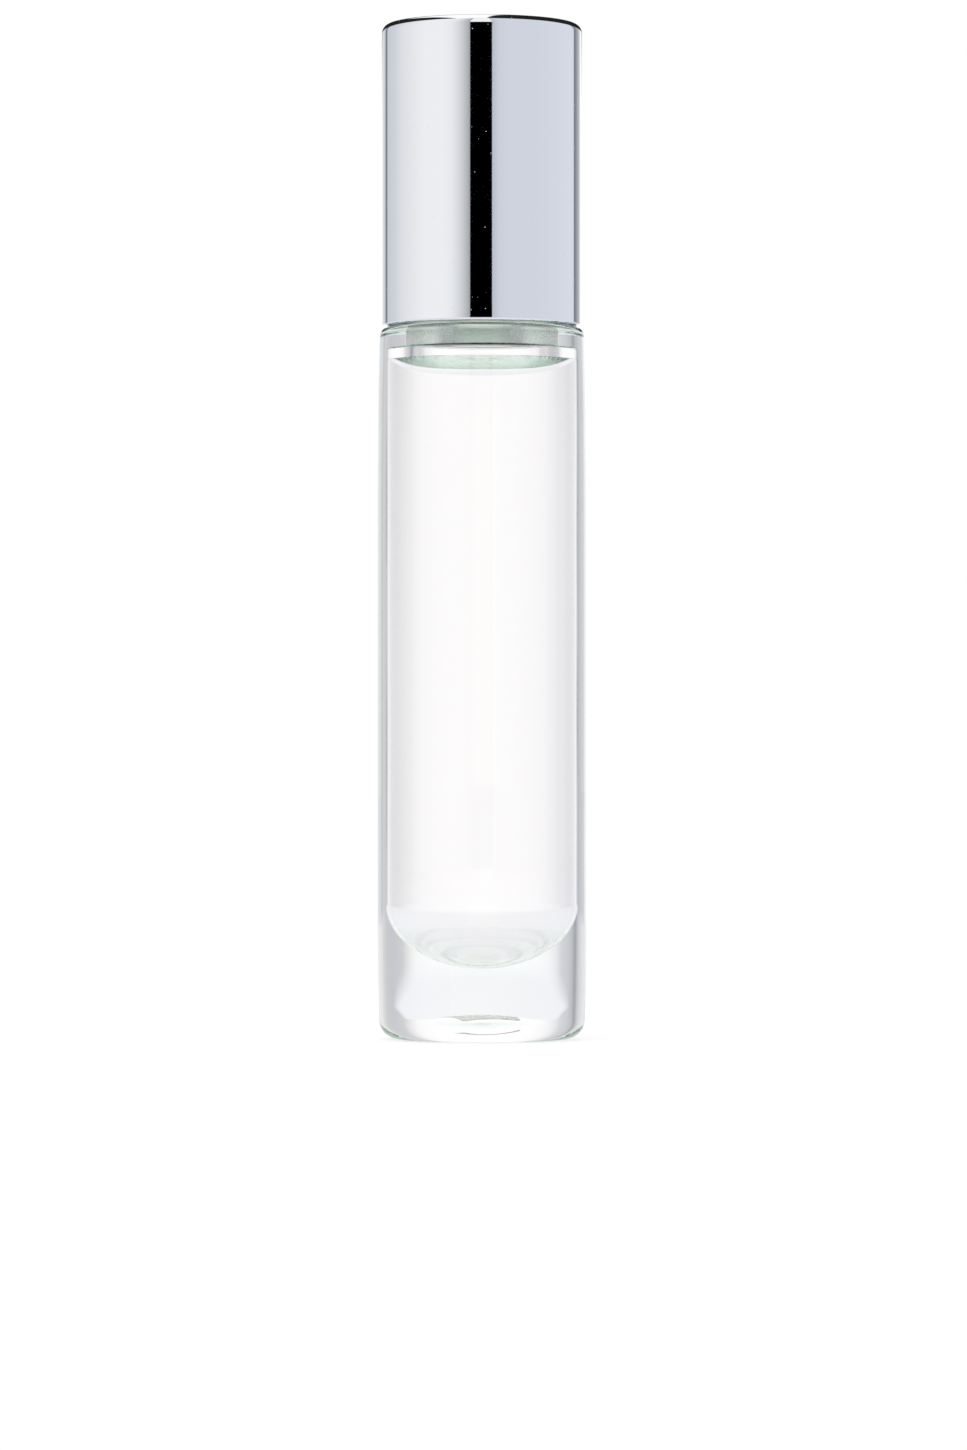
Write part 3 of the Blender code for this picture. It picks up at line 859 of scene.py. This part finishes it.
def mouldLiner():
    radius, sleeve, seat = liner["radius"], liner["sleeveRadius"], liner["seatRadius"]
    ring = radius - liner["ringWall"]
    beadZ = sealLow.z - liner["beadHeight"]
    pencil = startOutline("liner", 0, liner["crownTop"])
    lineTo(pencil, ring, liner["crownTop"], 3)
    lineTo(pencil, ring, liner["top"], 2)
    lineTo(pencil, radius, liner["top"])
    heldLineTo(pencil, radius, liner["bottom"] + liner["mouthEdge"])
    arcAbout(pencil, radius - liner["mouthEdge"], liner["bottom"] + liner["mouthEdge"], -90, 6)
    lineTo(pencil, sleeve + liner["mouthEdge"], liner["bottom"], 2)
    arcAbout(pencil, sleeve + liner["mouthEdge"], liner["bottom"] + liner["mouthEdge"], -90, 6)
    lineTo(pencil, sleeve, liner["sleeveTop"], linerThread["rows"])
    lineTo(pencil, seat, liner["sleeveTop"] + sleeve - seat, 2)
    heldLineTo(pencil, seat, beadZ - liner["beadHeight"])
    steps = 12
    for i in range(1, steps + 1):
        angle = math.pi * i / steps
        lineTo(
            pencil,
            seat - (seat - liner["beadRadius"]) * math.sin(angle),
            beadZ - liner["beadHeight"] * math.cos(angle),
        )
    heldLineTo(pencil, seat, liner["crownZ"])
    lineTo(pencil, 0, liner["crownZ"], 3)
    cap = spinRound(pencil, liner["spinSteps"])
    raiseThread(cap, linerThread)
    addCrownRibs(cap)
    return cap


def linerFinish():
    # white polypropylene, faintly cloudy, that lets a little light in
    material, tree, shader = newMaterial("white_polypropylene_finish", {
        "Base Color": (0.84, 0.84, 0.83, 1), "Roughness": 0.34,
        "Subsurface Weight": 0.15, "Subsurface Radius": (1, 1, 1), "Subsurface Scale": 0.4 * mm,
    })
    clouds = noiseOf(tree, objectPoints(tree), liner["cloudSize"])
    tree.links.new(blendOf(tree, clouds, *liner["colours"]), shader.inputs["Base Color"])
    grain = noiseOf(tree, objectPoints(tree), liner["grainSize"], detail=2)
    tree.links.new(rangeOf(tree, grain, 0.3, 0.7, *liner["roughness"]), shader.inputs["Roughness"])
    addBump(tree, shader, grain, liner["grainDepth"])
    return material


dress(mouldLiner(), linerFinish(), "white_polypropylene", "cap", "inner_cap")


# Cap shell: thin metal drawn to a cup, mirror polished

shell = {
    "radius": shellHigh.x,
    "wall": 0.5 * mm,
    "topRadius": 0.9 * mm,
    "rimEdge": 0.12 * mm,
    "hold": 0.15 * mm,
    "rubbingSize": 6 * mm,
    "rubbingDepth": 0.0006 * mm,
    "dustSize": 0.55 * mm,
    "dustPatch": 1.5 * mm,
    "dustRoughness": 0.5,
    "colours": ((0.87, 0.885, 0.915), (0.89, 0.90, 0.93)),
    "roughness": (0.02, 0.06),
    "vertices": 256,
}


def drawShell():
    low, high = shellLow.z, shellHigh.z
    startClean()
    bpy.ops.mesh.primitive_cylinder_add(
        vertices=shell["vertices"], radius=shell["radius"], depth=high - low,
        location=(0, 0, (low + high) / 2),
    )
    cup = bpy.context.object
    cup.name = cup.data.name = "metal_shell"
    bpy.ops.object.mode_set(mode="EDIT")
    bpy.ops.mesh.select_mode(type="FACE")
    facesAt(cup, low, -1)
    bpy.ops.mesh.delete(type="ONLY_FACE")
    facesAt(cup, high, 1)
    bpy.ops.mesh.bevel(offset=shell["topRadius"], segments=18, affect="EDGES")
    facesAt(cup, high, 1)
    bpy.ops.mesh.inset(thickness=shell["hold"])
    bpy.ops.mesh.inset(thickness=shell["radius"] / 2)
    bpy.ops.mesh.poke()
    for height in (high - shell["topRadius"] - shell["hold"], low + shell["rimEdge"] + shell["hold"]):
        bpy.ops.mesh.select_all(action="SELECT")
        bpy.ops.mesh.bisect(plane_co=(0, 0, height), plane_no=(0, 0, 1))
    bpy.ops.object.mode_set(mode="OBJECT")
    wall = cup.modifiers.new("wall", "SOLIDIFY")
    wall.thickness = shell["wall"]
    wall.offset = -1
    wall.use_even_offset = True
    applyModifier(cup, wall)
    edge = cup.modifiers.new("edge", "BEVEL")
    edge.width = shell["rimEdge"]
    edge.segments = 3
    edge.limit_method = "ANGLE"
    edge.angle_limit = math.radians(60)
    applyModifier(cup, edge)
    return settle(cup)


def mirrorFinish():
    # a cool polished mirror, with faint rubbing marks round it and a few specks of dust
    material, tree, shader = newMaterial("mirror_metal_finish", {
        "Base Color": (0.88, 0.89, 0.92, 1), "Metallic": 1, "Roughness": 0.04,
    })
    rubbing = noiseOf(tree, objectPoints(tree, (1, 1, 14)), shell["rubbingSize"], detail=5, roughness=0.7)
    specks = rangeOf(tree, cellsOf(tree, objectPoints(tree), shell["dustSize"]), 0.08, 0.13, 1, 0)
    thin = rangeOf(tree, noiseOf(tree, objectPoints(tree), shell["dustPatch"]), 0.5, 0.6, 0, 1)
    dust = sumOf(tree, sumOf(tree, specks, thin, "MULTIPLY"), shell["dustRoughness"], "MULTIPLY")
    polish = rangeOf(tree, rubbing, 0.3, 0.75, *shell["roughness"])
    tree.links.new(sumOf(tree, polish, dust), shader.inputs["Roughness"])
    tree.links.new(blendOf(tree, rubbing, *shell["colours"]), shader.inputs["Base Color"])
    addBump(tree, shader, rubbing, shell["rubbingDepth"])
    return material


dress(drawShell(), mirrorFinish(), "mirror_metal", "cap", "cap_shell")


# Stage: pale floor, white surroundings, curved cards that the metal and the glass reflect, soft lamps

stage = {
    "floorSize": 12,
    "floorDrop": 0.02 * mm,
    "floorGlow": 0.8,
    "floorNear": 0.05,
    "floorFar": 0.5,
    "pool": {"white": 0.03, "tinted": 0.1, "stretch": 1.43, "start": 0.6, "end": 0.78},
    "cardRadius": 0.9,
    "cardTop": 1.9,
    "ringPower": 1.1,
    "cool": (0.895, 0.925, 1.0),
    "glassTint": (1.04, 0.985, 1.01),
    "flagStart": 1.07,
    "flagFade": 0.02,
    "flagGlow": 0.015,
    "slotStart": 0.65,
    "slotAside": 0.15,
    "slotHalf": 0.21,
    "slotFade": 0.03,
    "worldGlow": 0.75,
}
# Rings of light round the bottle, by angle in degrees from the camera round to the right: how bright and
# how cool. The metal and the glass each see their own, as a studio's flags and cards would give, and both
# see a third on the floor near the bottle.
metalRing = (
    (-180, 1.08, 0), (-166, 0.95, 0.3), (-160, 0.79, 0.7), (-149, 0.68, 0.9), (-147, 0.24, 0.9),
    (-142, 0.24, 0.9), (-140, 0.69, 0.9), (-118, 0.76, 0.7), (-106, 0.83, 0.3), (-90, 0.88, 0.1),
    (-68, 0.955, 0), (-48, 0.955, 0), (-36, 0.92, 0.1), (-27, 0.79, 0.3), (-19, 0.60, 0.4),
    (-13.5, 0.42, 0.5), (11.5, 0.62, 1), (20, 0.76, 1), (34, 0.79, 1), (65, 0.79, 1), (90, 0.815, 1),
    (118, 0.845, 1), (131, 0.83, 1), (133, 0.22, 1), (138, 0.3, 1), (146, 0.5, 0.8), (153, 0.66, 0.3),
    (157, 1.08, 0), (180, 1.08, 0),
)
glassRing = (
    (-180, 1.07, 0), (-170, 1.06, 0), (-162, 1.04, 0), (-157, 1.01, 0), (-152, 0.97, 0.1),
    (-149, 0.92, 0.3), (-145.6, 0.83, 0.4), (-142, 0.68, 0.5), (-136, 0.62, 0.8), (-131, 0.5, 0.8),
    (-127, 0.26, 0.8), (-123, 0.5, 0.7), (-119, 0.63, 0.6), (-107, 0.68, 0.4), (-60, 0.85, 0.9),
    (60, 0.85, 0.9), (107, 0.7, 0), (113, 0.68, 0), (119, 0.58, 0), (124, 0.54, 0.2), (130, 0.57, 0.8),
    (136, 0.6, 0.8), (142, 0.62, 0.2), (145.6, 0.75, 0), (149, 0.88, 0), (152, 0.97, 0), (157, 1.01, 0),
    (162, 1.04, 0), (170, 1.06, 0), (180, 1.07, 0),
)
floorRing = (
    (-180, 0.97, 0.25), (-149, 0.95, 0.45), (-138, 0.94, 0.55), (-127, 0.935, 0.85), (-110, 0.915, 1.2),
    (-92, 0.89, 1.3), (-60, 0.9, 1.1), (60, 0.9, 1.1), (102, 0.87, 1.4), (117, 0.89, 1.1), (130, 0.9, 0.75),
    (144, 0.95, 0.5), (160, 0.98, 0.35), (180, 0.97, 0.25),
)
cards = {
    "left_card": {"reach": (-180, -13.5)},
    "right_card": {"reach": (11.5, 180)},
    "camera_gap": {"reach": (-13.5, 11.5), "top": 0.35, "dark": True},
}


def rampOf(tree, share, ring, cast=(1, 1, 1)):
    ramp = tree.nodes.new("ShaderNodeValToRGB")
    stops = ramp.color_ramp.elements
    # a new ramp has its first and last stops already
    for i, (degrees, glow, cool) in enumerate(ring):
        position = (degrees + 180) / 360
        stop = stops.new(position) if 0 < i < len(ring) - 1 else stops[min(i, 1) * (len(stops) - 1)]
        stop.position = position
        tint = ((1 + cool * (part - 1)) * extra for part, extra in zip(stage["cool"], cast))
        stop.color = (*(glow * part / stage["ringPower"] for part in tint), 1)
    tree.links.new(share, ramp.inputs["Fac"])
    return ramp.outputs["Color"]


def ringPlace(tree):
    # a point's coordinates, and its angle round the bottle as a share of the ring
    split = splitOf(tree, objectPoints(tree, (1, -1, 1)))
    angle = sumOf(tree, split.outputs["X"], split.outputs["Y"], "ARCTAN2")
    return split, rangeOf(tree, angle, -math.pi, math.pi, 0, 1)


def ringLight(tree):
    # the ring's colour at a point, and for the metal, overhead and behind, a dark flag with a bright slot
    split, share = ringPlace(tree)
    slot, slotEdge = stage["slotStart"], stage["slotHalf"]
    lean = sumOf(tree, split.outputs["X"], split.outputs["Z"], "DIVIDE")
    aside = sumOf(tree, sumOf(tree, lean, -stage["slotAside"], "SUBTRACT"), 0, "ABSOLUTE")
    beside = rangeOf(tree, aside, slotEdge, slotEdge + stage["slotFade"], 0, 1)
    below = rangeOf(tree, split.outputs["Z"], slot, slot + stage["slotFade"], 1, 0)
    flag = blendOf(tree, sumOf(tree, beside, below, "MAXIMUM"), (1, 1, 1), (stage["flagGlow"],) * 3)
    overBack = sumOf(tree, split.outputs["Z"], split.outputs["Y"], "SUBTRACT")
    high = rangeOf(tree, overBack, stage["flagStart"], stage["flagStart"] + stage["flagFade"], 0, 1)
    metal = blendOf(tree, high, rampOf(tree, share, metalRing), flag)
    clear = rampOf(tree, share, glassRing, stage["glassTint"])
    return blendOf(tree, anyOf(tree, "Is Transmission Ray"), metal, clear)


def cardFinish(name, dark=False):
    material = bpy.data.materials.new(name)
    material.use_nodes = True
    tree = material.node_tree
    tree.nodes.clear()
    output = tree.nodes.new("ShaderNodeOutputMaterial")
    glow = glowOf(tree, 0) if dark else glowOf(tree, stage["ringPower"], ringLight(tree))
    tree.links.new(glow, output.inputs["Surface"])
    return material


def hideCard(sheet, mirrorOnly):
    sheet.visible_camera = False
    sheet.visible_diffuse = False
    sheet.visible_shadow = False
    sheet.visible_transmission = not mirrorOnly


def hangCard(name, card):
    start, end = (math.radians(angle) for angle in card["reach"])
    pencil = startOutline(name, stage["cardRadius"], 0)
    lineTo(pencil, stage["cardRadius"], card.get("top", stage["cardTop"]))
    bpy.ops.mesh.select_all(action="SELECT")
    bpy.ops.mesh.spin(steps=48, angle=end - start, center=(0, 0, 0), axis=(0, 0, -1))
    sheet = settle(pencil["piece"])
    sheet.rotation_euler.z = start - math.pi / 2
    settle(sheet)
    sheet.data.materials.append(cardFinish(name, card.get("dark", False)))
    hideCard(sheet, mirrorOnly=card.get("dark", False))


def hangFlag():
    # the flag over the bottle, on the cards' top edges
    startClean()
    bpy.ops.mesh.primitive_plane_add(size=2 * stage["cardRadius"], location=(0, 0, stage["cardTop"]))
    sheet = bpy.context.object
    sheet.name = sheet.data.name = "top_flag"
    settle(sheet)
    sheet.data.materials.append(cardFinish("top_flag"))
    hideCard(sheet, mirrorOnly=True)


def floorFinish():
    # to the camera it is pale and turns white with distance; mirrors and glass see a white spot under the
    # bottle, the floor's ring round it and their own ring of light beyond
    material, tree, shader = newMaterial("pale_floor_finish", {
        "Base Color": (0.9, 0.9, 0.9, 1), "Roughness": 0.9,
    })
    pool, power = stage["pool"], stage["ringPower"]
    away = lengthOf(tree, objectPoints(tree))
    split, share = ringPlace(tree)
    reach = sumOf(tree, away, sumOf(tree, split.outputs["Y"], pool["stretch"], "DIVIDE"), "SUBTRACT")
    tinted = blendOf(
        tree, rangeOf(tree, away, pool["white"], pool["tinted"], 0, 1),
        (1 / power,) * 3, rampOf(tree, share, floorRing, stage["glassTint"]))
    seenByCamera = mixShaders(
        tree, rangeOf(tree, away, stage["floorNear"], stage["floorFar"], stage["floorGlow"], 1),
        shader.outputs["BSDF"], glowOf(tree, 1))
    mirrored = mixShaders(
        tree, rangeOf(tree, reach, pool["start"], pool["end"], 0, 1),
        glowOf(tree, power, tinted), glowOf(tree, power, ringLight(tree)))
    lit = mixShaders(tree, anyOf(tree, "Is Camera Ray"), shader.outputs["BSDF"], seenByCamera)
    surface = mixShaders(tree, anyOf(tree, "Is Glossy Ray", "Is Transmission Ray"), lit, mirrored)
    tree.links.new(surface, tree.nodes["Material Output"].inputs["Surface"])
    return material


def layFloor():
    startClean()
    bpy.ops.mesh.primitive_plane_add(size=stage["floorSize"], location=(0, 0, -stage["floorDrop"]))
    floor = bpy.context.object
    floor.name = floor.data.name = "pale_floor"
    settle(floor)
    floor.data.materials.append(floorFinish())


def setWorld():
    world = bpy.data.worlds.new("white_surroundings")
    bpy.context.scene.world = world
    world.use_nodes = True
    tree = world.node_tree
    seen = anyOf(tree, "Is Camera Ray", "Is Glossy Ray", "Is Transmission Ray")
    colour = blendOf(tree, seen, (stage["worldGlow"],) * 3, (1, 1, 1))
    tree.links.new(colour, tree.nodes["Background"].inputs["Color"])


lamps = {
    "key_lamp": {"place": (-0.55, -0.55, 0.75), "size": 0.6, "watts": 5.5},
    "fill_lamp": {"place": (0.7, -0.35, 0.45), "size": 0.6, "watts": 3.0},
    "top_lamp": {"place": (0.0, 0.15, 0.95), "size": 0.8, "watts": 4.5},
}


def hangLamp(name, lamp):
    data = bpy.data.lights.new(name, "AREA")
    data.size = lamp["size"]
    data.energy = lamp["watts"]
    holder = bpy.data.objects.new(name, data)
    holder.location = lamp["place"]
    aim = -holder.location
    aim.z += shellHigh.z / 2
    holder.rotation_euler = aim.to_track_quat("-Z", "Y").to_euler()
    holder.visible_glossy = False
    holder.visible_transmission = False
    bpy.context.scene.collection.objects.link(holder)


layFloor()
for name, card in cards.items():
    hangCard(name, card)
hangFlag()
setWorld()
for name, lamp in lamps.items():
    hangLamp(name, lamp)
bpy.context.scene.view_settings.view_transform = "Standard"
# the thick glass sends light round many times before it leaves
bpy.context.scene.cycles.max_bounces = 40
bpy.context.scene.cycles.diffuse_bounces = 8
bpy.context.scene.cycles.glossy_bounces = 24
bpy.context.scene.cycles.transmission_bounces = 32
print("stage set")

startClean()
